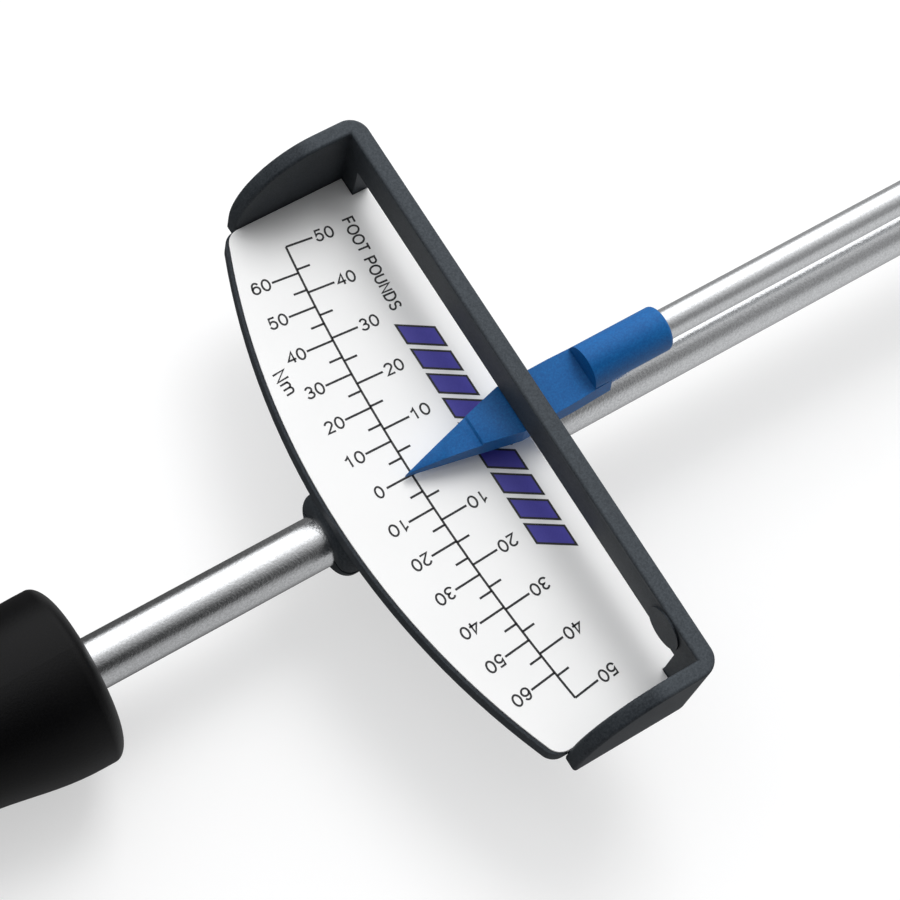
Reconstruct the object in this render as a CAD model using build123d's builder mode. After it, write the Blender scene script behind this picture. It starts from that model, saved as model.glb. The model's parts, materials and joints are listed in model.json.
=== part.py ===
"""Beam torque wrench: drive head, bending beam, straight pointer, scale and floating handle.

Frame: the origin is on the square drive's axis, at the face that a socket seats on.
The handle lies towards -X, the scale faces +Z and the square drive points to -Z.
Lengths are in millimetres.
"""
from build123d import *
from math import radians, tan
import os

# ------------------------------------------------------------------ driving dimensions

# Clearances
PRESS_GAP = 0.02            # radial, parts that are pressed or clamped together
RUN_GAP = 0.05              # radial, a pin that turns in its hole
SLIDE_GAP = 0.3             # between faces that pass each other
SEAT_GAP = 0.1              # all round a part that is laid in a recess

# Drive head
SQUARE_SIDE = 9.53
SQUARE_LENGTH = 11.0
SQUARE_CHAMFER = 0.8
SQUARE_CORNER = 1.0
SHOULDER_R = 10.5           # face that the socket seats on
SHOULDER_HEIGHT = 1.6
HEAD_R = 15.0
HEAD_WALL = 4.6             # steel under and over the beam
CROWN_R = 11.0              # upper part of the head, round the pointer rod
CROWN_WALL = 4.4            # steel over the pointer rod
HEAD_EDGE = 1.4
HEAD_NECK = 2.5             # radius where the crown runs into the head

# Detent in the square
BALL_R = 2.0
BALL_PROUD = 0.9
SPRING_WIRE_R = 0.25
SPRING_TURNS = 4
DETENT_DEPTH = 8.2          # blind hole, from the face that the ball comes out of

# Beam and pointer rod
BEAM_R = 3.97
ROD_R = 2.38
ROD_OVER_BEAM = 15.25       # between the two axes
BEAM_PAST_AXIS = 6.0        # how far the beam's end lies past the square's axis
ROD_PAST_AXIS = 5.0
HEAD_PIN_R = 1.5
ROLL_PIN_BORE_R, ROLL_PIN_SLOT = 0.75, 0.5
ROD_PIN_R = 1.0
PIN_BACK = 4.0              # cross pins, behind the square's axis
BEAM_CHAMFER = 0.6

# Scale: x positions here are from the scale's zero mark, towards the head
SCALE_X = -260.0
PLATE_OVER_BEAM = 8.35      # plate's top face over the beam's axis
PLATE_T = 1.0
GLUE_T, GLUE_INSET = 0.15, 1.0
PLATE_HALF_W = 45.15
PLATE_BACK = -13.1          # handle-side edge, on the centre line
PLATE_BACK_R = 116.0        # radius of that edge
PLATE_FRONT = 18.2
PLATE_CORNER = 2.5

# Bracket
BASE_T = 1.8                # floor under the plate
RIM = 0.45
RIM_DROP = 0.15             # rim's top below the plate's top
WALL_T = 2.5
WALL_H = 13.7
WALL_BACK = -2.5            # where the end walls start
CREST_X = 10.7              # where they reach full height
BAR_BACK, BAR_FRONT = 15.7, 18.4
BAR_BOTTOM = 6.9
POST_INNER = 42.1
BAR_CORNER = 3.0
EDGE = 0.5
DISC_R, DISC_T = 3.4, 0.3
DISC_Y, DISC_Z = -38.6, 9.9

# Saddle clamp under the bracket
HUB_R = 6.6
HUB_BACK, HUB_FRONT = -14.25, 12.0
HUB_EDGE = 2.0
CLAMP_GAP = 0.3             # half of the gap between the two halves
EAR_T = 3.0
EAR_Y = 10.4                # screw centres from the beam's axis
EAR_X = 5.0                 # screw centres from the middle of the hub
BOSS_R = 3.3
SCREW_R = 1.25
SCREW_HEAD_R, SCREW_HEAD_T = 2.3, 1.5
SCREW_BITE = 4.2
DRIVE_RECESS_R, DRIVE_RECESS_T = 0.9, 0.9
LOCATOR_R = 1.0

# Pointer: heights here are from the plate's top face
SOCKET_R = 3.52
SOCKET_BACK, SOCKET_FRONT = 27.9, 41.7
SOCKET_EDGE = 0.7
POINTER_HALF_W = 3.85
SHOULDER_X = 15.6           # where the blade starts to taper
TIP_X = -1.3
TIP_HALF_W = 0.12
TIP_TOP, TIP_BOTTOM = 1.5, 0.8
BELLY_X, BELLY_TOP = 3.28, 3.37   # a point on the blade's convex top
STEP_X, STEP_LENGTH, STEP_RISE = 9.6, 0.2, 0.6
STEP_TOP = 4.9
SHOULDER_TOP, SHOULDER_BOTTOM = 6.15, 3.0
DRAFT = 5.0                 # degrees, on the blade's sides
ROD_IN_POINTER = 12.8

# Handle
HANDLE_X = -312.6           # front face
HANDLE_LENGTH = 102.0
GRIP_R = 13.5               # largest radius, near both ends
WAIST_R = 10.6
RIM_ROUND_L, RIM_ROUND_R = 2.6, 5.0   # rounding of the front rim, along and across the handle
CROWN_AT = 4.4              # largest radius, from the nearer end
FLANK_AT, FLANK_R = 19.5, 11.4
WAIST_AT = 36.0
CORE_R = 9.0
LIP_T = 1.6                 # grip's front wall, over the core's front face
HANDLE_ROCK = 3.5           # degrees each way
HANDLE_PIN_R = 2.0
HANDLE_PIN_HALF = 7.6
FLAT_DEPTH = 0.47           # flats on the beam at the pivot
FLAT_HALF_L = 6.0
BEAM_PAST_PIN = 14.0
WASHER_R = 4.2
CORE_SCREW_R, CORE_SCREW_HEAD_R, CORE_SCREW_HEAD_T = 1.25, 2.3, 1.6
CORE_SCREW_HALF = 5.5
CORE_SCREW_AT = (22.0, 36.0)  # behind the pivot pin
CAP_T = 4.0
CAP_ROUND = 3.2
TENON_R, TENON_L = 7.2, 6.0   # core's rear end, inside the cap

# ------------------------------------------------------------------ derived places

BEAM_Z = SHOULDER_HEIGHT + HEAD_WALL + BEAM_R
ROD_Z = BEAM_Z + ROD_OVER_BEAM
HEAD_TOP = BEAM_Z + BEAM_R + HEAD_WALL
CROWN_TOP = ROD_Z + ROD_R + CROWN_WALL
PLATE_TOP = BEAM_Z + PLATE_OVER_BEAM
BALL_Z = -SQUARE_LENGTH / 2
PIVOT_X = HANDLE_X - HANDLE_LENGTH / 2
BEAM_END = PIVOT_X - BEAM_PAST_PIN
SEAT_Z = PLATE_TOP - PLATE_T - GLUE_T
BASE_Z = SEAT_Z - BASE_T
WALL_INNER = PLATE_HALF_W + SEAT_GAP
WALL_OUTER = WALL_INNER + WALL_T
HUB_MIDDLE = (HUB_BACK + HUB_FRONT) / 2
CORE_END = HANDLE_X - HANDLE_LENGTH + CAP_T
SLOT_HALF_H = BEAM_R + SLIDE_GAP
FLAT_HALF_T = BEAM_R - FLAT_DEPTH      # beam at the pivot, from its axis to each flat
WASHER_T = SLOT_HALF_H - FLAT_HALF_T - RUN_GAP - PRESS_GAP
BEAM_AXIS = Axis(origin=(0, 0, BEAM_Z), direction=(1, 0, 0))
PARTS = "parts"


def facing_x(x, z):
    """Plane square to the beam; its own x runs along +Y and its own y along +Z."""
    return Plane(origin=(x, 0, z), x_dir=(0, 1, 0), z_dir=(1, 0, 0))


def facing_y(x, z):
    """Plane through the middle, seen from -Y; its own x runs along +X and its own y along +Z."""
    return Plane(origin=(x, 0, z), x_dir=(1, 0, 0), z_dir=(0, -1, 0))


def level(z, x=0.0):
    """Level plane at height z, with its origin at x on the centre line."""
    return Plane(origin=(x, 0, z))


def save(part, name):
    """Label a finished piece and write it as its own STEP file."""
    part.label = name
    export_step(part, f"{PARTS}/{name}.step")


os.makedirs(PARTS, exist_ok=True)

# ------------------------------------------------------------------ drive head

with BuildPart() as drive_head:
    with BuildSketch(facing_y(0, 0)):
        with BuildLine():
            Polyline((0, 0), (SHOULDER_R, 0), (SHOULDER_R, SHOULDER_HEIGHT), (HEAD_R, SHOULDER_HEIGHT),
                     (HEAD_R, HEAD_TOP), (CROWN_R, HEAD_TOP), (CROWN_R, CROWN_TOP), (0, CROWN_TOP),
                     close=True)
        make_face()
    revolve(axis=Axis.Z)
    rims = drive_head.edges().filter_by(GeomType.CIRCLE)
    chamfer(rims.filter_by(lambda e: abs(e.radius - HEAD_R) < PRESS_GAP), HEAD_EDGE)
    neck = drive_head.edges().filter_by(GeomType.CIRCLE).filter_by(
        lambda e: abs(e.radius - CROWN_R) < PRESS_GAP)
    fillet(neck.sort_by(Axis.Z)[0], HEAD_NECK)
    chamfer(neck.sort_by(Axis.Z)[-1], HEAD_EDGE)
    with BuildSketch(level(0)):
        RectangleRounded(SQUARE_SIDE, SQUARE_SIDE, SQUARE_CORNER)
    extrude(amount=-SQUARE_LENGTH)
    chamfer(drive_head.faces().sort_by(Axis.Z)[0].edges(), SQUARE_CHAMFER)
    # blind holes for the beam and for the pointer rod
    with BuildSketch(facing_x(BEAM_PAST_AXIS, BEAM_Z)):
        Circle(BEAM_R + PRESS_GAP)
    extrude(amount=-(BEAM_PAST_AXIS + HEAD_R), mode=Mode.SUBTRACT)
    with BuildSketch(facing_x(ROD_PAST_AXIS, ROD_Z)):
        Circle(ROD_R + PRESS_GAP)
    extrude(amount=-(ROD_PAST_AXIS + HEAD_R), mode=Mode.SUBTRACT)
    # holes for the two cross pins
    with BuildSketch(facing_y(-PIN_BACK, BEAM_Z)):
        Circle(HEAD_PIN_R)
    extrude(amount=HEAD_R, both=True, mode=Mode.SUBTRACT)
    with BuildSketch(facing_y(-PIN_BACK, ROD_Z)):
        Circle(ROD_PIN_R)
    extrude(amount=HEAD_R, both=True, mode=Mode.SUBTRACT)
    # blind hole for the detent ball and its spring
    with BuildSketch(facing_x(SQUARE_SIDE / 2, BALL_Z)):
        Circle(BALL_R + RUN_GAP)
    extrude(amount=-DETENT_DEPTH, mode=Mode.SUBTRACT)
save(drive_head.part, "drive_head")

with BuildPart() as detent_ball:
    with Locations((SQUARE_SIDE / 2 + BALL_PROUD - BALL_R, 0, BALL_Z)):
        Sphere(BALL_R)
save(detent_ball.part, "detent_ball")

spring_back = SQUARE_SIDE / 2 - DETENT_DEPTH + SPRING_WIRE_R
spring_front = SQUARE_SIDE / 2 + BALL_PROUD - 2 * BALL_R - SPRING_WIRE_R
with BuildPart() as detent_spring:
    with BuildLine():
        coil = Helix(pitch=(spring_front - spring_back) / SPRING_TURNS, height=spring_front - spring_back,
                     radius=BALL_R - 3 * SPRING_WIRE_R, center=(spring_back, 0, BALL_Z), direction=(1, 0, 0))
    with BuildSketch(Plane(origin=coil @ 0, z_dir=coil % 0)):
        Circle(SPRING_WIRE_R)
    sweep(path=coil, is_frenet=True)
save(detent_spring.part, "detent_spring")


def cross_pin_half_length(barrel_r, pin_r):
    """Half length of a pin through a round barrel, off its middle, that stays inside its surface."""
    return (barrel_r ** 2 - (PIN_BACK + pin_r) ** 2) ** 0.5 - SEAT_GAP


with BuildPart() as beam_roll_pin:
    with BuildSketch(facing_y(-PIN_BACK, BEAM_Z)):
        Circle(HEAD_PIN_R)
        Circle(ROLL_PIN_BORE_R, mode=Mode.SUBTRACT)
        Rectangle(2 * HEAD_PIN_R, ROLL_PIN_SLOT, align=(Align.MIN, Align.CENTER), mode=Mode.SUBTRACT)
    extrude(amount=cross_pin_half_length(HEAD_R, HEAD_PIN_R), both=True)
save(beam_roll_pin.part, "beam_roll_pin")

with BuildPart() as rod_roll_pin:
    with BuildSketch(facing_y(-PIN_BACK, ROD_Z)):
        Circle(ROD_PIN_R)
    extrude(amount=cross_pin_half_length(CROWN_R, ROD_PIN_R), both=True)
save(rod_roll_pin.part, "rod_roll_pin")

# ------------------------------------------------------------------ beam and pointer rod

with BuildPart() as main_beam:
    with BuildSketch(facing_x(BEAM_END, BEAM_Z)):
        Circle(BEAM_R)
    extrude(amount=BEAM_PAST_AXIS - BEAM_END)
    chamfer(main_beam.edges().filter_by(GeomType.CIRCLE), BEAM_CHAMFER)
    # two flats where the handle pivots
    for side in (1, -1):
        with BuildSketch(level(BEAM_Z + side * FLAT_HALF_T, PIVOT_X)):
            Rectangle(2 * FLAT_HALF_L, 2 * BEAM_R)
        extrude(amount=side * BEAM_R, mode=Mode.SUBTRACT)
    # cross holes: handle pivot pin, scale locating pin, pin in the head
    with BuildSketch(level(BEAM_Z, PIVOT_X)):
        Circle(HANDLE_PIN_R + RUN_GAP)
    extrude(amount=BEAM_R, both=True, mode=Mode.SUBTRACT)
    with BuildSketch(level(BEAM_Z, SCALE_X + HUB_MIDDLE)):
        Circle(LOCATOR_R + PRESS_GAP)
    extrude(amount=-BEAM_R, mode=Mode.SUBTRACT)
    with BuildSketch(facing_y(-PIN_BACK, BEAM_Z)):
        Circle(HEAD_PIN_R + PRESS_GAP)
    extrude(amount=BEAM_R, both=True, mode=Mode.SUBTRACT)
save(main_beam.part, "main_beam")

rod_end = SCALE_X + SOCKET_FRONT - ROD_IN_POINTER
with BuildPart() as pointer_rod:
    with BuildSketch(facing_x(rod_end, ROD_Z)):
        Circle(ROD_R)
    extrude(amount=ROD_PAST_AXIS - rod_end)
    chamfer(pointer_rod.edges().filter_by(GeomType.CIRCLE), BEAM_CHAMFER / 2)
    with BuildSketch(facing_y(-PIN_BACK, ROD_Z)):
        Circle(ROD_PIN_R)
    extrude(amount=ROD_R, both=True, mode=Mode.SUBTRACT)
save(pointer_rod.part, "pointer_rod")

# ------------------------------------------------------------------ pointer

side_plane = facing_y(SCALE_X, PLATE_TOP)
socket_bottom = ROD_Z - PLATE_TOP - SOCKET_R
socket_middle = ROD_Z - PLATE_TOP
blade_half_w = POINTER_HALF_W + SHOULDER_TOP * tan(radians(DRAFT))
socket_half_w = SOCKET_R + socket_middle * tan(radians(DRAFT))
with BuildPart() as pointer:
    # side view of the blade: convex top to the step, then a flat that runs up to the socket
    with BuildSketch(side_plane):
        with BuildLine():
            top = Spline((TIP_X, TIP_TOP), (BELLY_X, BELLY_TOP), (STEP_X, STEP_TOP))
            Polyline(top @ 1, (STEP_X + STEP_LENGTH, STEP_TOP + STEP_RISE), (SHOULDER_X, SHOULDER_TOP),
                     (SOCKET_BACK, socket_middle), (SOCKET_BACK + SOCKET_R, socket_middle),
                     (SOCKET_BACK + SOCKET_R, socket_bottom), (SHOULDER_X + SOCKET_R, socket_bottom),
                     (SHOULDER_X, SHOULDER_BOTTOM), (TIP_X, TIP_BOTTOM), top @ 0)
        make_face()
    extrude(amount=2 * POINTER_HALF_W, both=True)
    # plan of the blade, narrower towards the top; its sides meet just past the blunt tip
    with BuildSketch(level(PLATE_TOP, SCALE_X)):
        apex_x = TIP_X - (SHOULDER_X - TIP_X) * TIP_HALF_W / (blade_half_w - TIP_HALF_W)
        with BuildLine():
            Polyline((apex_x, 0), (SHOULDER_X, -blade_half_w), (SOCKET_BACK - SOCKET_R, -blade_half_w),
                     (SOCKET_BACK + SOCKET_R, -socket_half_w), (SOCKET_BACK + SOCKET_R, socket_half_w),
                     (SOCKET_BACK - SOCKET_R, blade_half_w), (SHOULDER_X, blade_half_w), close=True)
        make_face()
    extrude(amount=socket_middle, taper=DRAFT, mode=Mode.INTERSECT)
    with BuildSketch(facing_x(SCALE_X + SOCKET_BACK, ROD_Z)):
        Circle(SOCKET_R)
    extrude(amount=SOCKET_FRONT - SOCKET_BACK)
    fillet(pointer.faces().sort_by(Axis.X)[-1].edges(), SOCKET_EDGE)
    with BuildSketch(facing_x(SCALE_X + SOCKET_FRONT, ROD_Z)):
        Circle(ROD_R)
    extrude(amount=-ROD_IN_POINTER, mode=Mode.SUBTRACT)
save(pointer.part, "pointer")

# ------------------------------------------------------------------ scale plate


def plate_outline(grow=0.0):
    """Plan of the scale plate, grown by a margin on its handle side, with that side's corners rounded."""
    back = PLATE_BACK - grow
    radius = PLATE_BACK_R + grow
    corner_x = back + radius - (radius ** 2 - PLATE_HALF_W ** 2) ** 0.5
    with BuildSketch() as outline:
        with BuildLine():
            ThreePointArc((corner_x, PLATE_HALF_W), (back, 0), (corner_x, -PLATE_HALF_W))
            Polyline((corner_x, -PLATE_HALF_W), (PLATE_FRONT, -PLATE_HALF_W),
                     (PLATE_FRONT, PLATE_HALF_W), (corner_x, PLATE_HALF_W))
        make_face()
        fillet(outline.vertices().group_by(Axis.X)[0], PLATE_CORNER)
    return outline.sketch


def post_rooms(margin=0.0):
    """Plan of the room that the bracket's two corner posts take, with a margin round them."""
    back, inner = BAR_BACK - margin, POST_INNER - margin
    with BuildSketch() as rooms:
        with Locations((back, inner)):
            Rectangle(PLATE_FRONT, WALL_OUTER, align=Align.MIN)
        mirror(about=Plane.XZ)
    return rooms.sketch


with BuildPart() as scale_plate:
    with BuildSketch(level(SEAT_Z + GLUE_T, SCALE_X)):
        add(plate_outline())
        add(post_rooms(SEAT_GAP), mode=Mode.SUBTRACT)
    extrude(amount=PLATE_T)
save(scale_plate.part, "scale_plate")

with BuildPart() as plate_adhesive:
    with BuildSketch(level(SEAT_Z, SCALE_X)):
        add(plate_outline())
        add(post_rooms(SEAT_GAP), mode=Mode.SUBTRACT)
        offset(amount=-GLUE_INSET, kind=Kind.INTERSECTION)
    extrude(amount=GLUE_T)
save(plate_adhesive.part, "plate_adhesive")

# ------------------------------------------------------------------ scale bracket


def hub_profile():
    """Half section of the hub over the beam's axis, rounded at its handle end."""
    with BuildSketch() as profile:
        with BuildLine():
            Polyline((HUB_BACK, 0), (HUB_FRONT, 0), (HUB_FRONT, HUB_R), (HUB_BACK + HUB_EDGE, HUB_R))
            CenterArc((HUB_BACK + HUB_EDGE, HUB_R - HUB_EDGE), HUB_EDGE, 90, 90)
            Line((HUB_BACK, HUB_R - HUB_EDGE), (HUB_BACK, 0))
        make_face()
    return profile.sketch


clamp_top = BEAM_Z + CLAMP_GAP
clamp_bottom = BEAM_Z - CLAMP_GAP
screw_spots = [(HUB_MIDDLE + i * EAR_X, j * EAR_Y) for i in (1, -1) for j in (1, -1)]

with BuildPart() as scale_bracket:
    # floor with a rim round the handle side
    with BuildSketch(level(BASE_Z, SCALE_X)):
        add(plate_outline(RIM + SEAT_GAP))
    extrude(amount=PLATE_TOP - RIM_DROP - BASE_Z)
    # end walls with a quarter-ellipse brow, from the handle side up to the bar
    for side in (1, -1):
        with BuildSketch(facing_y(SCALE_X, PLATE_TOP).offset(side * (WALL_OUTER - WALL_T / 2))):
            with BuildLine():
                EllipticalCenterArc((CREST_X, 0), CREST_X - WALL_BACK, WALL_H, start_angle=90, arc_size=90)
                Polyline((WALL_BACK, 0), (WALL_BACK, BASE_Z - PLATE_TOP), (BAR_FRONT, BASE_Z - PLATE_TOP),
                         (BAR_FRONT, WALL_H), (CREST_X, WALL_H))
            make_face()
        extrude(amount=WALL_T / 2, both=True)
    # corner posts and the bar across the top, over the pointer
    with BuildSketch(level(BASE_Z, SCALE_X)):
        with Locations((BAR_BACK, 0)):
            Rectangle(BAR_FRONT - BAR_BACK, 2 * WALL_OUTER, align=(Align.MIN, Align.CENTER))
    extrude(amount=PLATE_TOP + WALL_H - BASE_Z)
    with BuildSketch(facing_x(SCALE_X + BAR_BACK, PLATE_TOP)):
        with Locations((0, BAR_BOTTOM)):
            Rectangle(2 * POST_INNER, PLATE_TOP + BAR_BOTTOM - SEAT_Z, align=(Align.CENTER, Align.MAX))
    extrude(amount=BAR_FRONT - BAR_BACK, mode=Mode.SUBTRACT)
    # recess for the plate
    with BuildSketch(level(SEAT_Z, SCALE_X)):
        add(plate_outline(SEAT_GAP))
        add(post_rooms(), mode=Mode.SUBTRACT)
    extrude(amount=PLATE_T + GLUE_T, mode=Mode.SUBTRACT)
    with BuildSketch(level(SEAT_Z, SCALE_X)):
        with Locations((PLATE_FRONT / 2, 0)):
            Rectangle(PLATE_FRONT, 2 * POST_INNER)
    extrude(amount=PLATE_T + GLUE_T, mode=Mode.SUBTRACT)
    # outer corners of the bar, and softened edges
    posts = scale_bracket.edges().filter_by(Axis.Z).filter_by_position(
        Axis.X, SCALE_X + BAR_FRONT - PRESS_GAP, SCALE_X + BAR_FRONT + PRESS_GAP)
    fillet(posts.group_by(Axis.Y)[0] + posts.group_by(Axis.Y)[-1], BAR_CORNER)
    brow = scale_bracket.edges().filter_by_position(
        Axis.Z, PLATE_TOP + WALL_H - PRESS_GAP, PLATE_TOP + WALL_H + PRESS_GAP)
    fillet(brow, EDGE)
    # flat disc on the bar's inner face
    with BuildSketch(facing_x(SCALE_X + BAR_BACK, PLATE_TOP)):
        with Locations((DISC_Y, DISC_Z)):
            Circle(DISC_R)
    extrude(amount=-DISC_T)
    # upper half of the hub round the beam
    with BuildSketch(facing_y(SCALE_X, BEAM_Z)):
        add(hub_profile())
    revolve(axis=BEAM_AXIS)
    # bosses for the clamp screws
    with BuildSketch(level(clamp_top, SCALE_X)):
        with Locations(*screw_spots):
            Circle(BOSS_R)
    extrude(amount=BASE_Z - clamp_top)
    with BuildSketch(level(clamp_top, SCALE_X)):
        Rectangle(2 * PLATE_HALF_W, 2 * PLATE_HALF_W)
    extrude(amount=-2 * HUB_R, mode=Mode.SUBTRACT)
    with BuildSketch(level(clamp_top, SCALE_X)):
        with Locations(*screw_spots):
            Circle(SCREW_R)
    extrude(amount=SCREW_BITE, mode=Mode.SUBTRACT)
    with BuildSketch(facing_x(SCALE_X + HUB_BACK, BEAM_Z)):
        Circle(BEAM_R + PRESS_GAP)
    extrude(amount=HUB_FRONT - HUB_BACK, mode=Mode.SUBTRACT)
save(scale_bracket.part, "scale_bracket")

with BuildPart() as scale_saddle:
    # lower half of the hub, with an ear under each boss
    with BuildSketch(facing_y(SCALE_X, BEAM_Z)):
        add(hub_profile())
    revolve(axis=BEAM_AXIS)
    with BuildSketch(level(clamp_bottom, SCALE_X)):
        for i in (1, -1):
            with Locations((HUB_MIDDLE + i * EAR_X, 0)):
                SlotCenterToCenter(2 * EAR_Y, 2 * BOSS_R, rotation=90)
    extrude(amount=-EAR_T)
    with BuildSketch(level(clamp_bottom, SCALE_X)):
        Rectangle(2 * PLATE_HALF_W, 2 * PLATE_HALF_W)
    extrude(amount=2 * HUB_R, mode=Mode.SUBTRACT)
    with BuildSketch(facing_x(SCALE_X + HUB_BACK, BEAM_Z)):
        Circle(BEAM_R + PRESS_GAP)
    extrude(amount=HUB_FRONT - HUB_BACK, mode=Mode.SUBTRACT)
    with BuildSketch(level(clamp_bottom, SCALE_X)):
        with Locations(*screw_spots):
            Circle(SCREW_R + SEAT_GAP)
    extrude(amount=-EAR_T, mode=Mode.SUBTRACT)
    with BuildSketch(level(BEAM_Z, SCALE_X + HUB_MIDDLE)):
        Circle(LOCATOR_R)
    extrude(amount=-HUB_R, mode=Mode.SUBTRACT)
save(scale_saddle.part, "scale_saddle")

ear_under = clamp_bottom - EAR_T
with BuildPart() as saddle_screws:
    with BuildSketch(level(ear_under, SCALE_X)):
        with Locations(*screw_spots):
            Circle(SCREW_HEAD_R)
    extrude(amount=-SCREW_HEAD_T)
    chamfer(saddle_screws.faces().group_by(Axis.Z)[0].edges(), SCREW_HEAD_T / 3)
    with BuildSketch(level(ear_under, SCALE_X)):
        with Locations(*screw_spots):
            Circle(SCREW_R)
    extrude(amount=EAR_T + 2 * CLAMP_GAP + SCREW_BITE)
    with BuildSketch(level(ear_under - SCREW_HEAD_T, SCALE_X)):
        with Locations(*screw_spots):
            RegularPolygon(DRIVE_RECESS_R, 6)
    extrude(amount=DRIVE_RECESS_T, mode=Mode.SUBTRACT)
save(saddle_screws.part, "saddle_screws")

with BuildPart() as scale_locating_pin:
    with BuildSketch(level(BEAM_Z, SCALE_X + HUB_MIDDLE)):
        Circle(LOCATOR_R)
    extrude(amount=-(HUB_R - SEAT_GAP))
    chamfer(scale_locating_pin.faces().sort_by(Axis.Z)[0].edges(), SEAT_GAP)
save(scale_locating_pin.part, "scale_locating_pin")

# ------------------------------------------------------------------ handle

slot_front_half = BEAM_R + SLIDE_GAP + (HANDLE_X - PIVOT_X) * tan(radians(HANDLE_ROCK))
slot_rear = -BEAM_PAST_PIN - SLIDE_GAP - BEAM_R * tan(radians(HANDLE_ROCK))
slot_rear_half = BEAM_R + SLIDE_GAP - slot_rear * tan(radians(HANDLE_ROCK))
core_front = HANDLE_X - LIP_T

with BuildPart() as handle_grip:
    # sleeve: rounded front rim, flared ends and a waist
    with BuildSketch(facing_y(HANDLE_X, BEAM_Z)):
        rear = -(HANDLE_LENGTH - CAP_T)
        with BuildLine():
            rim = EllipticalCenterArc((-RIM_ROUND_L, GRIP_R - RIM_ROUND_R), RIM_ROUND_L, RIM_ROUND_R,
                                      start_angle=0, arc_size=90)
            flank = Spline((-CROWN_AT, GRIP_R), (-FLANK_AT, FLANK_R), (-WAIST_AT, WAIST_R),
                           tangents=((-1, 0), (-1, 0)))
            mirrored = Spline((-HANDLE_LENGTH + WAIST_AT, WAIST_R), (-HANDLE_LENGTH + FLANK_AT, FLANK_R),
                              (rear, GRIP_R), tangents=((-1, 0), (-1, 0)))
            Line(rim @ 1, flank @ 0)
            Line(flank @ 1, mirrored @ 0)
            Polyline(mirrored @ 1, (rear, CORE_R), (-LIP_T, CORE_R), (-LIP_T, 0), (0, 0), rim @ 0)
        make_face()
    revolve(axis=BEAM_AXIS)
    # opening in the front wall, as wide as the beam swings in it
    with BuildSketch(facing_x(core_front, BEAM_Z)):
        RectangleRounded(2 * slot_front_half, 2 * SLOT_HALF_H, SLOT_HALF_H - SLIDE_GAP)
    extrude(amount=LIP_T, mode=Mode.SUBTRACT)
save(handle_grip.part, "handle_grip")

with BuildPart() as handle_core:
    with BuildSketch(facing_x(CORE_END, BEAM_Z)):
        Circle(CORE_R)
    extrude(amount=core_front - CORE_END)
    with BuildSketch(facing_x(CORE_END, BEAM_Z)):
        Circle(CORE_R)
        Circle(TENON_R, mode=Mode.SUBTRACT)
    extrude(amount=TENON_L, mode=Mode.SUBTRACT)
    # waisted slot that lets the handle rock about its pin
    with BuildSketch(level(BEAM_Z - SLOT_HALF_H, PIVOT_X)):
        with BuildLine():
            Polyline((HANDLE_X - PIVOT_X, slot_front_half), (0, BEAM_R + SLIDE_GAP),
                     (slot_rear, slot_rear_half), (slot_rear, -slot_rear_half),
                     (0, -BEAM_R - SLIDE_GAP), (HANDLE_X - PIVOT_X, -slot_front_half), close=True)
        make_face()
    extrude(amount=2 * SLOT_HALF_H, mode=Mode.SUBTRACT)
    with BuildSketch(level(BEAM_Z, PIVOT_X)):
        Circle(HANDLE_PIN_R)
    extrude(amount=HANDLE_PIN_HALF, both=True, mode=Mode.SUBTRACT)
    # screws that hold the two halves together
    screw_places = [(-distance, 0) for distance in CORE_SCREW_AT]
    with BuildSketch(level(BEAM_Z, PIVOT_X)):
        with Locations(*screw_places):
            Circle(CORE_SCREW_R)
    extrude(amount=CORE_SCREW_HALF, both=True, mode=Mode.SUBTRACT)
    with BuildSketch(level(BEAM_Z + CORE_SCREW_HALF, PIVOT_X)):
        with Locations(*screw_places):
            Circle(CORE_SCREW_HEAD_R)
    extrude(amount=CORE_R, mode=Mode.SUBTRACT)

for half_name, keep in (("handle_core_upper", Keep.TOP), ("handle_core_lower", Keep.BOTTOM)):
    with BuildPart() as core_half:
        add(handle_core.part)
        split(bisect_by=level(BEAM_Z), keep=keep)
    save(core_half.part, half_name)

with BuildPart() as core_screws:
    with BuildSketch(level(BEAM_Z, PIVOT_X)):
        with Locations(*screw_places):
            Circle(CORE_SCREW_R)
    extrude(amount=CORE_SCREW_HALF, both=True)
    with BuildSketch(level(BEAM_Z + CORE_SCREW_HALF, PIVOT_X)):
        with Locations(*screw_places):
            Circle(CORE_SCREW_HEAD_R)
    extrude(amount=CORE_SCREW_HEAD_T)
    with BuildSketch(level(BEAM_Z + CORE_SCREW_HALF + CORE_SCREW_HEAD_T, PIVOT_X)):
        with Locations(*screw_places):
            RegularPolygon(DRIVE_RECESS_R, 6)
    extrude(amount=-DRIVE_RECESS_T, mode=Mode.SUBTRACT)
save(core_screws.part, "core_screws")

with BuildPart() as handle_pivot_pin:
    with BuildSketch(level(BEAM_Z, PIVOT_X)):
        Circle(HANDLE_PIN_R)
    extrude(amount=HANDLE_PIN_HALF, both=True)
    chamfer(handle_pivot_pin.edges().filter_by(GeomType.CIRCLE), SEAT_GAP)
save(handle_pivot_pin.part, "handle_pivot_pin")

with BuildPart() as pivot_washers:
    for side in (1, -1):
        with BuildSketch(level(BEAM_Z + side * (FLAT_HALF_T + RUN_GAP), PIVOT_X)):
            Circle(WASHER_R)
            Circle(HANDLE_PIN_R + RUN_GAP, mode=Mode.SUBTRACT)
        extrude(amount=side * WASHER_T)
save(pivot_washers.part, "pivot_washers")

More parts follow.
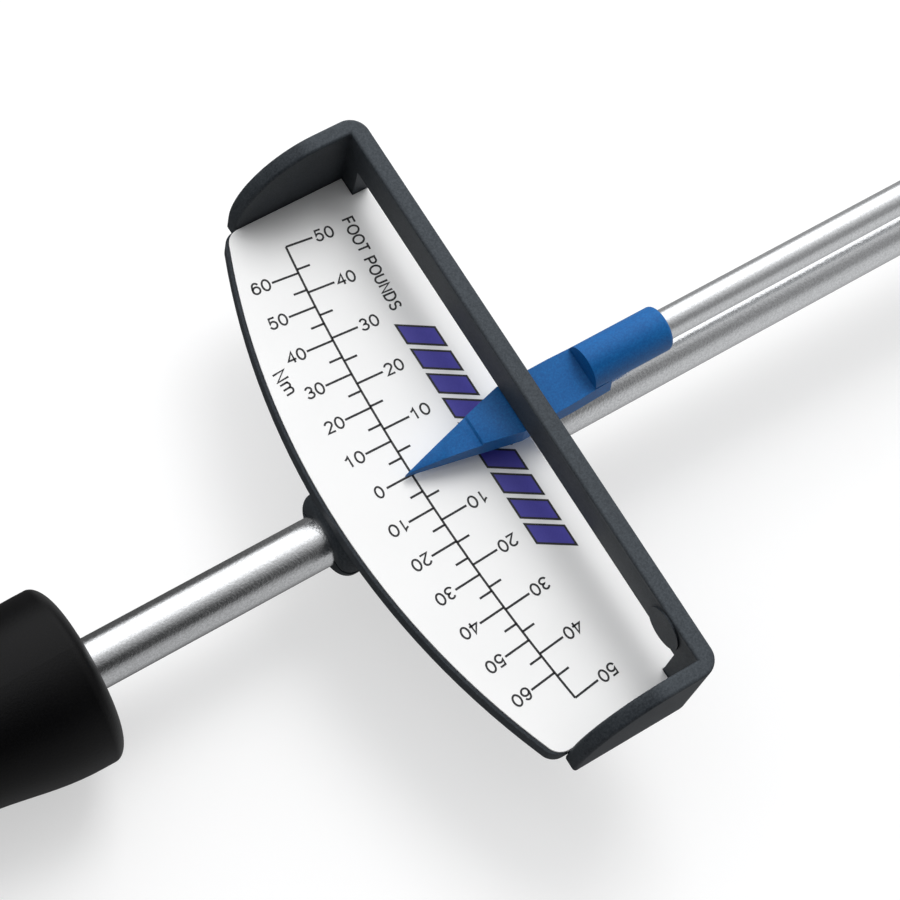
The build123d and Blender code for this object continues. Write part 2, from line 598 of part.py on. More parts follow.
with BuildPart() as handle_end_cap:
    with BuildSketch(facing_x(CORE_END, BEAM_Z)):
        Circle(GRIP_R)
    extrude(amount=-CAP_T)
    fillet(handle_end_cap.faces().sort_by(Axis.X)[0].edges(), CAP_ROUND)
    with BuildSketch(facing_x(CORE_END, BEAM_Z)):
        Circle(CORE_R)
        Circle(TENON_R, mode=Mode.SUBTRACT)
    extrude(amount=TENON_L)
save(handle_end_cap.part, "handle_end_cap")
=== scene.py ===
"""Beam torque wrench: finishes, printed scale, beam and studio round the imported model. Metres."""
import json
import math

import bmesh
import bpy
from mathutils import Matrix, Vector

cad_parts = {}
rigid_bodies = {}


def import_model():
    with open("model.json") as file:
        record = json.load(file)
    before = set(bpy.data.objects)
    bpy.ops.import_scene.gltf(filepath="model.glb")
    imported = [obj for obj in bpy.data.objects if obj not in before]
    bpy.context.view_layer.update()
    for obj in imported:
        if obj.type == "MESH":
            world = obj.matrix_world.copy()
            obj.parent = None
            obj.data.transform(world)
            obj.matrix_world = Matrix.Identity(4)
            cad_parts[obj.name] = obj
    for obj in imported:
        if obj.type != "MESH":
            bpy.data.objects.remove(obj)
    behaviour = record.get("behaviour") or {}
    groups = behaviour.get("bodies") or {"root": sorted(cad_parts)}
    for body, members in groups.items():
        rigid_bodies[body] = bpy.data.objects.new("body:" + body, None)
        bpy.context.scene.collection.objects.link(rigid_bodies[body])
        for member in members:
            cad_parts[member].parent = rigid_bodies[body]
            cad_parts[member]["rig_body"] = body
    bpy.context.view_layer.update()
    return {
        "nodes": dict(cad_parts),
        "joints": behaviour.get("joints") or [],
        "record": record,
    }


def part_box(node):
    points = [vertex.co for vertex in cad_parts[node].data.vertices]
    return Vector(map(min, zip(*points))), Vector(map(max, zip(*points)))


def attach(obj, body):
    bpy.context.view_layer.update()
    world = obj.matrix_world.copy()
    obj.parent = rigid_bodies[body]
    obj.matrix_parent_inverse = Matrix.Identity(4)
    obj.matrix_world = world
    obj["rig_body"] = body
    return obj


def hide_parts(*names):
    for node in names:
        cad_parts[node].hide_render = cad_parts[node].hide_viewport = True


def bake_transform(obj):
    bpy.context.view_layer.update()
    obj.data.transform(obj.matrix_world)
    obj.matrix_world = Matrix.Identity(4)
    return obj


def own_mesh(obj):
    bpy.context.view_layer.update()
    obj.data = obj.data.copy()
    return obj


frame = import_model()

MM = 0.001
JOINTS = {joint["name"]: joint for joint in frame["joints"]}

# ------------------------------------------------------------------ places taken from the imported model

plate_low, plate_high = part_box("scale_plate")
beam_low, beam_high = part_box("main_beam")
head_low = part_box("drive_head")[0]

PLATE_TOP = plate_high.z
BEAM_Z = (beam_low.z + beam_high.z) / 2
BEAM_R = (beam_high.z - beam_low.z) / 2
PIVOT_X = JOINTS["handle_pivot"]["pos_m"][0]
PLATE_EDGE = 13.1 * MM             # the plate's edge towards the handle, from the scale's zero mark
SCALE_X = plate_low.x + PLATE_EDGE
ZERO_MARK = Vector((SCALE_X, 0, PLATE_TOP))


# ------------------------------------------------------------------ shader expressions


class Value:
    """One output of a node. Arithmetic on it adds Math nodes to the same tree."""

    def __init__(self, shading, socket):
        self.shading = shading
        self.socket = socket

    def maths(self, operation, *terms):
        return self.shading.node("ShaderNodeMath", {"operation": operation}, dict(enumerate(terms)))

    def __add__(self, other):
        return self.maths("ADD", self, other)

    def __sub__(self, other):
        return self.maths("SUBTRACT", self, other)

    def __rsub__(self, other):
        return self.maths("SUBTRACT", other, self)

    def __mul__(self, other):
        return self.maths("MULTIPLY", self, other)

    __radd__ = __add__
    __rmul__ = __mul__


class Shading:
    """A node tree, with the few kinds of node that the finishes and the sky are made of."""

    def __init__(self, tree):
        self.tree = tree

    def put(self, node, inputs):
        """Set or link sockets of a node, by name or by number."""
        for key, value in inputs.items():
            if isinstance(value, Value):
                self.tree.links.new(value.socket, node.inputs[key])
            else:
                socket = node.inputs[key]
                is_colour = socket.type == "RGBA" and len(value) == 3
                socket.default_value = (*value, 1.0) if is_colour else value

    def node(self, kind, settings=None, inputs=None, output=0):
        """Add a node: its settings first, then its sockets. A ramp's stops are (place, value) pairs."""
        made = self.tree.nodes.new(kind)
        for key, value in (settings or {}).items():
            if key == "stops":
                ramp = made.color_ramp.elements
                while len(ramp) < len(value):
                    ramp.new(0.5)
                for element, (place, level) in zip(ramp, value):
                    element.position = place
                    element.color = (level, level, level, 1.0)
            else:
                setattr(made, key, value)
        self.put(made, inputs or {})
        return Value(self, made.outputs[output])

    def place(self, stretch=(1.0, 1.0, 1.0)):
        """Object coordinates, stretched along the axes."""
        coords = self.node("ShaderNodeTexCoord", output="Object")
        return self.node("ShaderNodeMapping", inputs={"Vector": coords, "Scale": stretch})

    def noise(self, size, detail=2.0, roughness=0.5, stretch=(1.0, 1.0, 1.0)):
        """Noise from 0 to 1 whose blotches are about size metres across."""
        return self.node("ShaderNodeTexNoise", inputs={"Vector": self.place(stretch), "Scale": 1.0 / size,
                                                       "Detail": detail, "Roughness": roughness})

    def steps(self, value, *stops):
        """A line that runs straight from each (place, level) stop to the next."""
        return self.node("ShaderNodeValToRGB", {"stops": stops}, {"Fac": value})

    def mix(self, factor, first, second):
        """Colour between first and second."""
        return self.node("ShaderNodeMix", {"data_type": "RGBA"},
                         {"Factor": factor, 6: first, 7: second}, output=2)

    def bump(self, height, depth):
        """Surface relief of about depth metres."""
        return self.node("ShaderNodeBump", inputs={"Height": height, "Distance": depth, "Strength": 1.0})


class Finish(Shading):
    """A material's node tree round one Principled shader."""

    def __init__(self, name, **constants):
        self.material = bpy.data.materials.new(name)
        self.material.use_nodes = True
        super().__init__(self.material.node_tree)
        self.shader = next(n for n in self.tree.nodes if n.type == "BSDF_PRINCIPLED")
        self.put(self.shader, self.sockets(constants))

    @staticmethod
    def sockets(words):
        """Socket names from words written with underscores."""
        return {key.replace("_", " ").title().replace("Ior", "IOR"): value for key, value in words.items()}

    def surface(self, **outputs):
        """The finished material, once what changes over its surface is linked to the shader."""
        self.put(self.shader, self.sockets(outputs))
        return self.material


# ------------------------------------------------------------------ finishes

PLATING_GRAIN = 0.36 * MM          # distance between the plating's pits
TOP_HIGHLIGHT_DEPTH = 0.4 * MM               # how far down from a moulding's top the painted highlight reaches
TOP_HIGHLIGHT_SHARE = 0.7                    # how much of the painted highlight shows at the very top
TOP_HIGHLIGHT_LIGHTENING = 1.7               # how much lighter the painted highlight at the top is


def toned(colour, factor):
    """A colour made darker or lighter by a factor."""
    return tuple(factor * part for part in colour)


def satin_plating(name, colour, roughness, depth=0.022 * MM):
    """Bright plating over a finely blasted surface: tiny pits, brighter and duller in turn."""
    steel = Finish(name, metallic=1.0)
    pits = steel.noise(PLATING_GRAIN, detail=2.0, roughness=0.6)
    bands = steel.noise(4 * MM, detail=2.0, stretch=(0.25, 1.0, 1.0))
    bright = steel.steps(pits, (0.3, 0.0), (0.7, 1.0))
    return steel.surface(base_color=steel.mix(bright, toned(colour, 0.80), colour),
                         roughness=roughness + 0.08 * pits + 0.04 * bands,
                         normal=steel.bump(pits, depth))


def plain_steel(name, colour, roughness):
    """Turned or drawn steel with faint marks along it."""
    steel = Finish(name, metallic=1.0)
    marks = steel.noise(0.3 * MM, detail=3.0, stretch=(0.2, 1.0, 1.0))
    cloud = steel.noise(3 * MM)
    return steel.surface(base_color=steel.mix(cloud, toned(colour, 0.7), colour),
                         roughness=roughness + 0.15 * marks, normal=steel.bump(marks, 0.003 * MM))


def moulded_plastic(name, colour, lighter, roughness, gloss=0.4, grain=0.22 * MM, depth=0.012 * MM,
                    top=None):
    """Moulded plastic with a fine grain, lighter on the high spots, and with a painted highlight below top if
    that is given.
    """
    plastic = Finish(name, specular_ior_level=gloss)
    pits = plastic.noise(grain, detail=3.0, roughness=0.65)
    cloud = plastic.noise(5 * MM, detail=2.0)
    high = plastic.steps(pits, (0.35, 0.0), (0.75, 1.0))
    tone = plastic.mix(0.65 * high + 0.35 * cloud, colour, lighter)
    # painted highlight: faces near the top are made lighter, standing in for the light that falls on them
    if top is not None:
        height = plastic.node("ShaderNodeSeparateXYZ", inputs={0: plastic.place()}, output=2)
        top_highlight_mask = plastic.steps((height - top) * (1 / TOP_HIGHLIGHT_DEPTH) + 1.0, (0.0, 0.0), (1.0, 1.0))
        painted_top_highlight = plastic.mix(high, lighter, toned(lighter, TOP_HIGHLIGHT_LIGHTENING))
        tone = plastic.mix(TOP_HIGHLIGHT_SHARE * top_highlight_mask, tone, painted_top_highlight)
    return plastic.surface(base_color=tone, roughness=roughness + 0.12 * pits,
                           normal=plastic.bump(pits, depth))


def printed_plate(name):
    """White satin sheet with a faint unevenness in its gloss."""
    sheet = Finish(name, specular_ior_level=0.3)
    cloud = sheet.noise(9 * MM, detail=2.0)
    return sheet.surface(base_color=sheet.mix(cloud, (0.88, 0.88, 0.875), (0.92, 0.92, 0.915)),
                         roughness=0.3 + 0.08 * cloud)


def ink(name, colour, lighter):
    """Screen ink with a slightly uneven coat."""
    film = Finish(name, specular_ior_level=0.45)
    grain = film.noise(0.25 * MM, detail=2.0)
    return film.surface(base_color=film.mix(grain, colour, lighter), roughness=0.35 + 0.1 * grain)


FINISHES = {
    "beam_steel": satin_plating("beam_plating", (0.84, 0.85, 0.86), 0.12),
    "rod_steel": satin_plating("rod_plating", (0.86, 0.87, 0.88), 0.14, depth=0.014 * MM),
    "head_steel": satin_plating("head_plating", (0.74, 0.75, 0.77), 0.2),
    "ball_steel": plain_steel("ball_polish", (0.75, 0.75, 0.77), 0.08),
    "spring_steel": plain_steel("spring_wire", (0.40, 0.40, 0.42), 0.3),
    "pin_steel": plain_steel("pin_steel", (0.42, 0.42, 0.44), 0.32),
    "screw_steel": plain_steel("screw_zinc", (0.52, 0.52, 0.50), 0.3),
    "pointer_plastic": moulded_plastic("pointer_blue", (0.001, 0.066, 0.245), (0.006, 0.150, 0.430), 0.42,
                                       gloss=0.30, grain=0.3 * MM),
    # the bracket's top faces get a painted highlight
    "bracket_plastic": moulded_plastic("bracket_charcoal", (0.007, 0.0105, 0.015), (0.048, 0.056, 0.064),
                                       0.5, gloss=0.22, grain=0.3 * MM, top=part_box("scale_bracket")[1].z),
    "plate_plastic": printed_plate("plate_white"),
    "adhesive_film": moulded_plastic("film", (0.5, 0.5, 0.47), (0.6, 0.6, 0.57), 0.5),
    "grip_rubber": moulded_plastic("grip_black", (0.0004, 0.0004, 0.0006), (0.0022, 0.0022, 0.0026), 0.33,
                                   gloss=0.17, grain=0.3 * MM, depth=0.03 * MM),
    "core_plastic": moulded_plastic("core_black", (0.012, 0.012, 0.013), (0.025, 0.025, 0.027), 0.5),
    "washer_plastic": moulded_plastic("washer_white", (0.6, 0.59, 0.54), (0.72, 0.71, 0.66), 0.45),
    "cap_plastic": moulded_plastic("cap_black", (0.002, 0.002, 0.0025), (0.007, 0.007, 0.0075), 0.36,
                                   gloss=0.2),
}
BLACK_INK = ink("ink_black", (0.007, 0.007, 0.009), (0.02, 0.02, 0.022))
BLUE_INK = ink("ink_blue", (0.045, 0.040, 0.30), (0.065, 0.055, 0.36))
SLOTS = {row["node"]: row["material_slot"] for row in frame["record"]["subparts"]}


def dress_nodes():
    """Give every CAD node the finish of its material."""
    for name, node in frame["nodes"].items():
        node.data.materials.clear()
        node.data.materials.append(FINISHES[SLOTS[name]])


dress_nodes()

# ------------------------------------------------------------------ mesh helpers

WELD = 0.0005 * MM                 # points closer than this are one point
FLAT_WITHIN = math.radians(0.5)    # faces that turn less than this make one flat face
SMOOTH_WITHIN = math.radians(32)   # edges that turn less than this are shaded smooth
ROUNDED_FROM = math.radians(35)    # edges that turn more than this are rounded off


def piece(name, mesh, material, body):
    """A finished piece: facing outwards, shaded smooth up to its sharp edges, riding on its body."""
    bmesh.ops.recalc_face_normals(mesh, faces=mesh.faces)
    data = bpy.data.meshes.new(name)
    mesh.to_mesh(data)
    mesh.free()
    data.shade_smooth()
    data.set_sharp_from_angle(angle=SMOOTH_WITHIN)
    made = bpy.data.objects.new(name, data)
    bpy.context.scene.collection.objects.link(made)
    made.data.materials.append(material)
    if body:
        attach(made, body)
    return made


def node_mesh(node):
    """A welded copy of a CAD node, its flat regions joined into single faces."""
    mesh = bmesh.new()
    mesh.from_mesh(frame["nodes"][node].data)
    bmesh.ops.remove_doubles(mesh, verts=mesh.verts, dist=WELD)
    bmesh.ops.dissolve_limit(mesh, angle_limit=FLAT_WITHIN, verts=mesh.verts, edges=mesh.edges)
    return mesh


def softened(node, width, segments=3):
    """A CAD node with its sharp edges rounded off, standing for that node."""
    body = frame["nodes"][node]["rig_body"]
    made = piece(node + "_piece", node_mesh(node), FINISHES[SLOTS[node]], body)
    bevel = made.modifiers.new("edges", "BEVEL")
    bevel.width = width
    bevel.segments = segments
    bevel.limit_method = "ANGLE"
    bevel.angle_limit = ROUNDED_FROM
    bevel.profile = 0.5
    bevel.use_clamp_overlap = True
    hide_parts(node)


def spun(profile, axis_z, steps):
    """A body of revolution about the line along X at height axis_z, from (x, radius) points."""
    mesh = bmesh.new()
    verts = [mesh.verts.new((x, 0.0, axis_z + radius)) for x, radius in profile]
    edges = [mesh.edges.new(pair) for pair in zip(verts, verts[1:])]
    bmesh.ops.spin(mesh, geom=verts + edges, cent=(0, 0, axis_z), axis=(1, 0, 0), angle=2 * math.pi,
                   steps=steps, use_merge=True)
    bmesh.ops.remove_doubles(mesh, verts=mesh.verts, dist=WELD)
    return mesh


# ------------------------------------------------------------------ softened mouldings

softened("scale_bracket", 0.35 * MM)
softened("pointer", 0.12 * MM, segments=2)
softened("scale_saddle", 0.3 * MM)
softened("scale_plate", 0.08 * MM, segments=2)
softened("drive_head", 0.2 * MM, segments=2)
softened("handle_end_cap", 0.1 * MM, segments=2)

# ------------------------------------------------------------------ spring behind the detent ball


def pressed_spring():
    """The spring behind the detent ball, as a piece with a mesh of its own."""
    spring = piece("detent_coil", node_mesh("detent_spring"), FINISHES["spring_steel"], "head")
    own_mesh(spring)
    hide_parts("detent_spring")


pressed_spring()

# ------------------------------------------------------------------ round beam

BEAM_CHAMFER = 0.6 * MM
BEAM_RINGS = 180                   # along the beam, close enough for a smooth bend
BEAM_SIDES = 56
FLAT_HALF_LENGTH, FLAT_HALF_HEIGHT = 6 * MM, 3.5 * MM


def bending_beam():
    """Round beam with chamfered ends and flats at the handle's pivot."""
    ring_pitch = (beam_high.x - beam_low.x - 2 * BEAM_CHAMFER) / BEAM_RINGS
    body = [(beam_low.x + BEAM_CHAMFER + ring_pitch * i, BEAM_R) for i in range(BEAM_RINGS + 1)]
    profile = [(beam_low.x, 0.0), (beam_low.x, BEAM_R - BEAM_CHAMFER), *body,
               (beam_high.x, BEAM_R - BEAM_CHAMFER), (beam_high.x, 0.0)]
    mesh = spun(profile, BEAM_Z, BEAM_SIDES)
    for vert in mesh.verts:
        if abs(vert.co.x - PIVOT_X) < FLAT_HALF_LENGTH:
            height = max(-FLAT_HALF_HEIGHT, min(FLAT_HALF_HEIGHT, vert.co.z - BEAM_Z))
            vert.co.z = BEAM_Z + height
    beam = piece("beam", mesh, FINISHES["beam_steel"], None)
    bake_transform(beam)
    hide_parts("main_beam")


bending_beam()

# ------------------------------------------------------------------ printed scale

ARC_R = 309 * MM                   # radius of the scale's arc, its centre towards the head
FULL_ANGLE = math.radians(7.316)   # from zero to the last foot-pound mark
FULL_FOOT_POUNDS, FULL_NEWTON_METRES = 50, 60
NEWTON_METRES_PER_FOOT_POUND = 1.35582
TICK_STEP, NUMBER_STEP = 5, 10     # units from one graduation, and from one number, to the next
ARC_STEPS = 80
LINE_W = 0.33 * MM
LONG_TICK = 4.25 * MM
SHORT_TICK = 2.1 * MM
INK_T = 0.03 * MM
NUMBER_H, NUMBER_L = 2.0 * MM, 3.0 * MM
ZERO_L = 0.45 * NUMBER_L           # the zero has one figure
# middle of each row of numbers from the arc, towards the head
FOOT_POUND_ROW, NEWTON_METRE_ROW, ZERO_ROW = 6.1 * MM, -6.0 * MM, -5.5 * MM
LETTER_W = 0.29 * MM               # width of the letters' strokes
CHARACTER_GAP = 0.12               # between two characters, as a share of their height
# words on the plate: place from the zero mark, length, height and turn
WORDS = (("FOOT POUNDS", Vector((12.3, 31.1, 0)) * MM, 16.2 * MM, 1.95 * MM, math.radians(-94)),
         ("Nm", Vector((-8.6, 20.9, 0)) * MM, 3.9 * MM, 2.15 * MM, math.radians(-86)))
BAND_LOW_X, BAND_HIGH_X = 10.0 * MM, 15.2 * MM
BAND_START, BAND_END = 20.0 * MM, -19.6 * MM
BAND_BLOCKS = 9
BAND_LEAN = 1.6 * MM
BAND_GAP = 0.75 * MM
OUTLINE_W = 0.32 * MM


def on_scale(angle, inward):
    """Point of the plate at an angle along the arc, inward of it by a distance towards the head."""
    radius = ARC_R - inward
    return ZERO_MARK + Vector((ARC_R - radius * math.cos(angle), radius * math.sin(angle), 0))


def print_on_plate(name, mesh, ink_used):
    """One printed piece from flat faces on the plate, raised by the thickness of the ink."""
    raised = bmesh.ops.extrude_face_region(mesh, geom=mesh.faces[:])["geom"]
    tops = [part for part in raised if isinstance(part, bmesh.types.BMVert)]
    bmesh.ops.translate(mesh, verts=tops, vec=(0, 0, INK_T))
    piece(name, mesh, ink_used, "scale")


def printed_lines(name, strokes):
    """Straight printed lines of one width, each from one point to another, in one piece."""
    mesh = bmesh.new()
    for start, end in strokes:
        side = (end - start).cross(Vector((0, 0, 1))).normalized() * LINE_W / 2
        mesh.faces.new([mesh.verts.new(p) for p in (start + side, end + side, end - side, start - side)])
    print_on_plate(name, mesh, BLACK_INK)


def arc_line():
    """The arc between the two rows of graduations."""
    angles = [FULL_ANGLE * (2 * i / ARC_STEPS - 1) for i in range(ARC_STEPS + 1)]
    mesh = bmesh.new()
    rows = [[mesh.verts.new(on_scale(angle, side * LINE_W / 2)) for side in (1, -1)] for angle in angles]
    for (a, b), (c, d) in zip(rows, rows[1:]):
        mesh.faces.new((a, b, d, c))
    print_on_plate("scale_arc", mesh, BLACK_INK)


def ticks(name, unit_angle, highest, direction):
    """Graduations each way from zero: long at the numbers, short between them."""
    strokes = []
    for value in range(-highest, highest + 1, TICK_STEP):
        length = SHORT_TICK if value % NUMBER_STEP else LONG_TICK
        strokes.append((on_scale(value * unit_angle, 0.0), on_scale(value * unit_angle, direction * length)))
    printed_lines(name, strokes)


def arc(middle_x, middle_y, half_width, half_height, start, end):
    """Points along part of an ellipse, between two angles in degrees."""
    steps = max(3, round(abs(end - start) / 15))
    angles = [math.radians(start + (end - start) * i / steps) for i in range(steps + 1)]
    return [(middle_x + half_width * math.cos(a), middle_y + half_height * math.sin(a)) for a in angles]


# centre lines of plain sans-serif characters, one unit high: a width, then strokes
CHARACTERS = {
    "0": (0.70, [arc(0.35, 0.5, 0.29, 0.5, 0, 360)]),
    "1": (0.70, [[(0.14, 0.76), (0.32, 0.86), (0.42, 1.0), (0.42, 0.0)]]),
    "2": (0.70, [arc(0.34, 0.72, 0.27, 0.28, 165, -35) + [(0.06, 0.0), (0.64, 0.0)]]),
    "3": (0.70, [arc(0.33, 0.75, 0.23, 0.25, 160, -90) + arc(0.33, 0.26, 0.28, 0.26, 85, -165)]),
    "4": (0.70, [[(0.50, 0.0), (0.50, 1.0), (0.03, 0.30), (0.68, 0.30)]]),
    "5": (0.70, [[(0.60, 1.0), (0.17, 1.0), (0.10, 0.50)] + arc(0.33, 0.33, 0.28, 0.33, 130, -165)]),
    "6": (0.70, [arc(0.36, 0.66, 0.25, 0.34, 25, 150) + [(0.07, 0.50)]
                 + arc(0.35, 0.32, 0.28, 0.32, 190, 530)]),
    "D": (0.80, [[(0.08, 0.0), (0.08, 1.0), (0.34, 1.0)] + arc(0.34, 0.5, 0.38, 0.5, 80, -80)
                 + [(0.34, 0.0), (0.08, 0.0)]]),
    "F": (0.68, [[(0.08, 0.0), (0.08, 1.0), (0.62, 1.0)], [(0.08, 0.53), (0.54, 0.53)]]),
    "N": (0.80, [[(0.08, 0.0), (0.08, 1.0), (0.70, 0.0), (0.70, 1.0)]]),
    "O": (0.90, [arc(0.45, 0.5, 0.40, 0.5, 0, 360)]),
    "P": (0.74, [[(0.08, 0.0), (0.08, 1.0), (0.42, 1.0)] + arc(0.42, 0.73, 0.24, 0.27, 80, -80)
                 + [(0.42, 0.46), (0.08, 0.46)]]),
    "S": (0.74, [arc(0.37, 0.76, 0.26, 0.24, 25, 250) + arc(0.37, 0.26, 0.29, 0.26, 70, -160)]),
    "T": (0.68, [[(0.02, 1.0), (0.66, 1.0)], [(0.34, 1.0), (0.34, 0.0)]]),
    "U": (0.80, [[(0.08, 1.0)] + arc(0.39, 0.31, 0.31, 0.31, 180, 360) + [(0.70, 1.0)]]),
    "m": (1.02, [[(0.08, 0.0), (0.08, 0.72)], arc(0.29, 0.50, 0.21, 0.22, 180, 0) + [(0.50, 0.0)],
                 arc(0.71, 0.50, 0.21, 0.22, 180, 0) + [(0.92, 0.0)]]),
    " ": (0.40, []),
}


def ribbon(mesh, points, width):
    """A flat strip of one width along points on the plate, closed where its ends meet."""
    closed = (points[0] - points[-1]).length < width / 10
    if closed:
        points = points[:-1]
    count = len(points)
    rows = []
    for i, point in enumerate(points):
        before = (point - points[i - 1]).normalized() if closed or i > 0 else None
        after = (points[(i + 1) % count] - point).normalized() if closed or i < count - 1 else None
        before, after = before or after, after or before
        along = (before + after).normalized()
        reach = width / 2 / max(0.5, along.dot(before))
        side = Vector((-along.y, along.x, 0)) * reach
        rows.append((mesh.verts.new(point + side), mesh.verts.new(point - side)))
    pairs = zip(rows, rows[1:] + rows[:1]) if closed else zip(rows, rows[1:])
    for (a, b), (c, d) in pairs:
        mesh.faces.new((a, b, d, c))


def letter(mesh, text, centre, length, height, turn):
    """Add text lying on the plate, of a length and a height, centred on a point and turned about it."""
    strokes, pen = [], 0.0
    for character in text:
        width, lines = CHARACTERS[character]
        strokes += [[Vector((pen + x, y, 0)) for x, y in line] for line in lines]
        pen += width + CHARACTER_GAP
    xs = [point.x for stroke in strokes for point in stroke]
    left, right = min(xs), max(xs)
    stretch = Matrix.Diagonal(((length - LETTER_W) / (right - left), height - LETTER_W, 1, 1))
    lay = (Matrix.Translation(centre) @ Matrix.Rotation(turn, 4, "Z") @ stretch
           @ Matrix.Translation((-(left + right) / 2, -0.5, 0)))
    for stroke in strokes:
        ribbon(mesh, [lay @ point for point in stroke], LETTER_W)


def scale_numbers(unit_angle, highest, inward):
    """One row of numbers, read outwards on each side of zero."""
    mesh = bmesh.new()
    for number in range(NUMBER_STEP, highest + 1, NUMBER_STEP):
        for side, turn in ((1, 0.0), (-1, math.pi)):
            angle = side * number * unit_angle
            letter(mesh, str(number), on_scale(angle, inward), NUMBER_L, NUMBER_H, turn - angle)
    return mesh


def printed_band():
    """A plain decorative band of slanted blocks across the plate, each with a dark outline."""
    pitch = (BAND_END - BAND_START) / BAND_BLOCKS
    for name, ink_used in (("band_fill", BLUE_INK), ("band_outline", BLACK_INK)):
        mesh = bmesh.new()
        for i in range(BAND_BLOCKS):
            near = BAND_START + pitch * i - BAND_GAP / 2
            far = BAND_START + pitch * (i + 1) + BAND_GAP / 2
            low, high = SCALE_X + BAND_LOW_X, SCALE_X + BAND_HIGH_X
            corners = ((low, near + BAND_LEAN), (low, far + BAND_LEAN),
                       (high, far - BAND_LEAN), (high, near - BAND_LEAN))
            block = mesh.faces.new([mesh.verts.new((x, y, PLATE_TOP)) for x, y in corners])
            mesh.normal_update()
            rim = bmesh.ops.inset_region(mesh, faces=[block], thickness=OUTLINE_W, use_boundary=True,
                                         use_even_offset=True)["faces"]
            bmesh.ops.delete(mesh, geom=rim if ink_used is BLUE_INK else [block], context="FACES")
        print_on_plate(name, mesh, ink_used)


def print_scale():
    """Everything printed on the plate."""
    foot_pound = FULL_ANGLE / FULL_FOOT_POUNDS
    newton_metre = foot_pound / NEWTON_METRES_PER_FOOT_POUND
    arc_line()
    ticks("ticks_foot_pounds", foot_pound, FULL_FOOT_POUNDS, 1)
    ticks("ticks_newton_metres", newton_metre, FULL_NEWTON_METRES, -1)
    foot_pound_numbers = scale_numbers(foot_pound, FULL_FOOT_POUNDS, FOOT_POUND_ROW)
    newton_metre_numbers = scale_numbers(newton_metre, FULL_NEWTON_METRES, NEWTON_METRE_ROW)
    letter(newton_metre_numbers, "0", on_scale(0.0, ZERO_ROW), ZERO_L, NUMBER_H, 0.0)
    words = bmesh.new()
    for text, place, length, height, turn in WORDS:
        letter(words, text, ZERO_MARK + place, length, height, turn)
    print_on_plate("numbers_foot_pounds", foot_pound_numbers, BLACK_INK)
    print_on_plate("numbers_newton_metres", newton_metre_numbers, BLACK_INK)
    print_on_plate("unit_words", words, BLACK_INK)
    printed_band()


print_scale()

# ------------------------------------------------------------------ studio

# brightness at angles round the beam from straight up, towards its right and (negative) its left
LIGHT_ROUND_BEAM = ((-180, 0.06), (-94, 0.06), (-84, 0.35), (-74, 1.0), (-18, 1.0), (2, 0.42),
                    (24, 0.16), (40, 0.03), (62, 0.03), (76, 0.20), (92, 0.30), (130, 0.30), (180, 0.06))
# and at directions from the handle's end (-1) to the head's end (1)
LIGHT_ALONG_BEAM = ((-1, 0.25), (-0.55, 0.75), (-0.2, 1.0), (0.7, 1.0), (1, 0.6))
FLOOR_GLOW = 0.52
FLOOR_GREY = (0.5, 0.5, 0.5)
FLOOR_HALF = 4.0                   # half the table's side
UNDER_SQUARE = 0.1 * MM            # from the drive square down to the table
DOME_R = 8.0
DOME_GLOW = 0.92
BLACK = (0.0, 0.0, 0.0)
WHITE = (1.0, 1.0, 1.0)
BANK_TINT = (0.985, 0.99, 1.0)
BANK_STRENGTH = 1.5
# light that fills the dark side of the rods towards the head, and the directions between which it comes in
FILL = 0.2
FILL_FROM, FILL_WHOLE = 0.2, 0.42
KEY_AT = Vector((0.42, 0.42, 0.90))   # the lamp from the zero mark, over the wrench's left
KEY_SIDE = 0.5
KEY_WATTS = 5.2
VIEW_CENTRE = Vector((6.79, 0.533, 0)) * MM   # what the camera looks at, from the zero mark
VIEW_DISTANCE = 369.5 * MM
VIEW_AZIMUTH, VIEW_ELEVATION = math.radians(-51.784), math.radians(67.2206)
VIEW_ROLL = math.radians(21.176)
FOCAL_LENGTH, SENSOR_W = 103.15, 36   # in millimetres, as lenses are named

stage = bpy.data.collections.new("studio")
bpy.context.scene.collection.children.link(stage)


def stage_piece(name, mesh, colour, glow):
    """A part of the studio, evenly glowing and unseen in the steel's reflections."""
    data = bpy.data.meshes.new(name)
    mesh.to_mesh(data)
    mesh.free()
    made = bpy.data.objects.new(name, data)
    stage.objects.link(made)
    glowing = Finish(name + "_white", roughness=0.9, specular_ior_level=0.0, base_color=colour,
                     emission_color=WHITE, emission_strength=glow)
    made.data.materials.append(glowing.material)
    made.visible_glossy = False
    return made


def floor():
    """Evenly lit white table under the wrench as it rests on its square and on the end of its grip."""
    cap_low, cap_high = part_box("handle_end_cap")
    square_bottom = head_low.z
    rest_x, rest_z = cap_high.x, BEAM_Z - (cap_high.z - cap_low.z) / 2
    slope = math.atan2(rest_z - square_bottom, -rest_x)
    mesh = bmesh.new()
    bmesh.ops.create_grid(mesh, x_segments=1, y_segments=1, size=FLOOR_HALF)
    lay = Matrix.Translation((0, 0, square_bottom - UNDER_SQUARE)) @ Matrix.Rotation(slope, 4, "Y")
    bmesh.ops.transform(mesh, verts=mesh.verts, matrix=lay)
    stage_piece("floor", mesh, FLOOR_GREY, FLOOR_GLOW)


def backdrop():
    """A pale dome behind the table, which sheds no light on the wrench."""
    mesh = bmesh.new()
    bmesh.ops.create_uvsphere(mesh, u_segments=48, v_segments=24, radius=DOME_R)
    dome = stage_piece("backdrop", mesh, BLACK, DOME_GLOW)
    dome.visible_diffuse = dome.visible_transmission = dome.visible_shadow = False


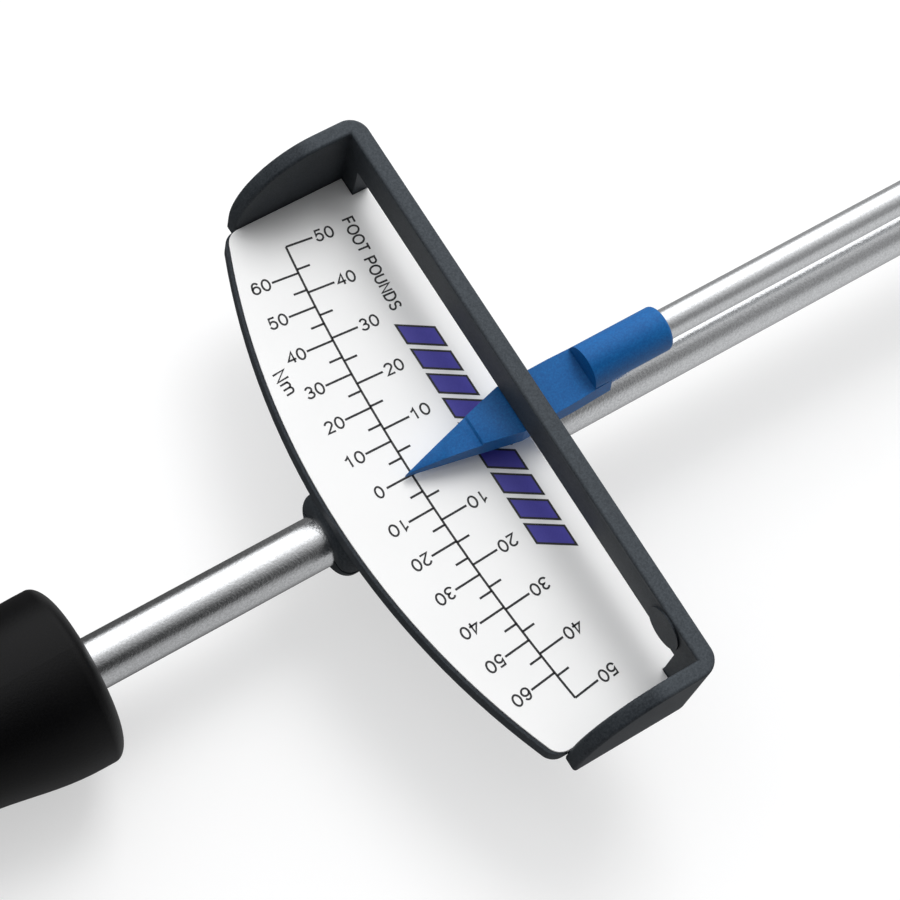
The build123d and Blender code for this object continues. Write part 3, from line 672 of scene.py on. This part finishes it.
def surroundings():
    """A broad white bank over the wrench's left, dark over its right, and dimmer past both of its ends."""
    air = bpy.data.worlds.new("studio_air")
    air.use_nodes = True
    bpy.context.scene.world = air
    sky = Shading(air.node_tree)
    along, across, up = (sky.node("ShaderNodeSeparateXYZ", inputs={0: sky.node("ShaderNodeTexCoord")},
                                  output=axis) for axis in range(3))
    right = 0 - across
    turn = right.maths("ARCTAN2", right, up) * (0.5 / math.pi) + 0.5
    reach = along * 0.5 + 0.5
    round_beam = sky.steps(turn, *((0.5 + degrees / 360, level) for degrees, level in LIGHT_ROUND_BEAM))
    past_ends = sky.steps(reach, *((0.5 + share / 2, level) for share, level in LIGHT_ALONG_BEAM))
    fill = FILL * sky.steps(reach, (0.5 + FILL_FROM / 2, 0.0), (0.5 + FILL_WHOLE / 2, 1.0))
    brightness = round_beam * past_ends + fill * (1 - round_beam)
    sky.put(air.node_tree.nodes["Background"], {"Color": sky.mix(brightness, BLACK, BANK_TINT),
                                                "Strength": BANK_STRENGTH})


def key_lamp():
    """A broad lamp that lights the plate and the table and stays out of the steel's reflections."""
    panel = bpy.data.lights.new("key", "AREA")
    panel.size = KEY_SIDE
    panel.energy = KEY_WATTS
    made = bpy.data.objects.new("key", panel)
    made.location = ZERO_MARK + KEY_AT
    made.rotation_mode = "QUATERNION"
    made.rotation_quaternion = (-KEY_AT).to_track_quat("-Z", "Y")
    made.visible_glossy = False
    stage.objects.link(made)


def camera():
    """The camera looks down at the scale from the handle's right."""
    level_reach = math.cos(VIEW_ELEVATION)
    back = Vector((math.sin(VIEW_AZIMUTH) * level_reach, -math.cos(VIEW_AZIMUTH) * level_reach,
                   math.sin(VIEW_ELEVATION)))
    lens = bpy.data.cameras.new("camera")
    lens.lens = FOCAL_LENGTH
    lens.sensor_width = SENSOR_W
    lens.clip_start = 0.01
    made = bpy.data.objects.new("camera", lens)
    made.location = ZERO_MARK + VIEW_CENTRE + back * VIEW_DISTANCE
    made.rotation_mode = "QUATERNION"
    roll = Matrix.Rotation(VIEW_ROLL, 3, "Z").to_quaternion()
    made.rotation_quaternion = (-back).to_track_quat("-Z", "Y") @ roll
    stage.objects.link(made)
    bpy.context.scene.camera = made


floor()
backdrop()
surroundings()
key_lamp()
camera()
bpy.context.scene.view_settings.view_transform = "Standard"
